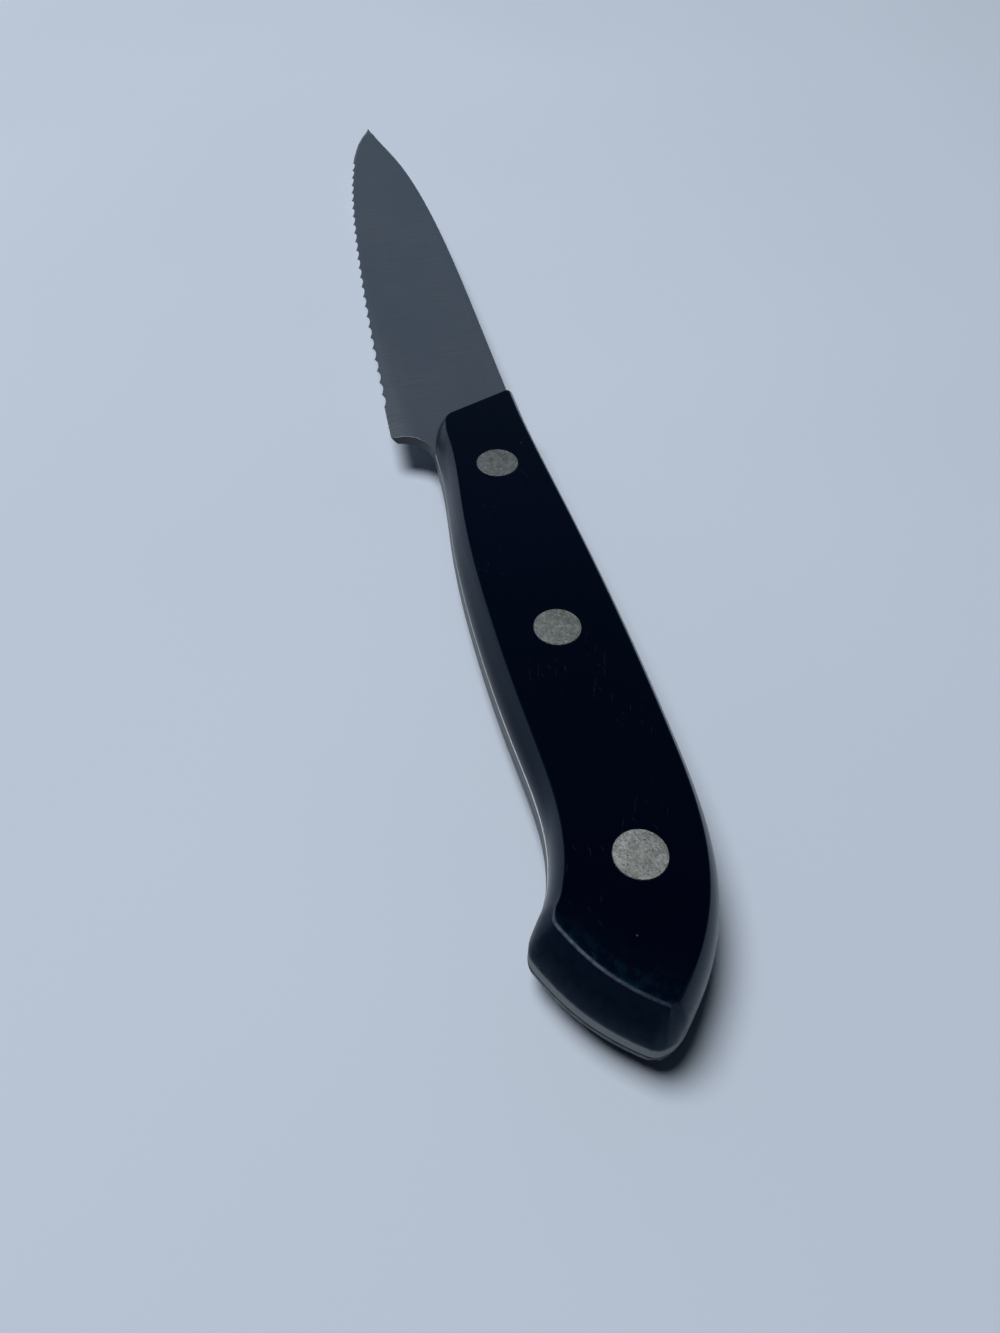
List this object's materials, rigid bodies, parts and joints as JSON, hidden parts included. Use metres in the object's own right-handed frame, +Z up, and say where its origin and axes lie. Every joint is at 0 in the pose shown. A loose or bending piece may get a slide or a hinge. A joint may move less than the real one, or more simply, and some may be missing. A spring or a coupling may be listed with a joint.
{
  "type": "serrated utility knife",
  "caption": "Kitchen utility knife with a scalloped edge, a full tang and curved black scales held by flush rivets, lying flat.",
  "frame": {"origin": "centre of the bounding box's bottom face, on the surface that the knife lies on", "axes": "+X along the knife from the butt to the tip, +Y towards the cutting edge, +Z up through the thickness of the handle"},
  "size_m": [0.2458, 0.0268, 0.014],
  "materials": {
    "blade_steel": "satin, fine grinding lines across the blade",
    "handle_plastic": "satin black, lightly worn",
    "rivet_metal": "dull, faintly pitted, ground flush with the scales"
  },
  "bodies": {
    "root": {"blade_and_tang": "blade_steel", "upper_scale": "handle_plastic", "lower_scale": "handle_plastic", "rivet_male_front": "rivet_metal", "rivet_female_front": "rivet_metal", "rivet_male_middle": "rivet_metal", "rivet_female_middle": "rivet_metal", "rivet_male_rear": "rivet_metal", "rivet_female_rear": "rivet_metal"}
  },
  "joints": []
}
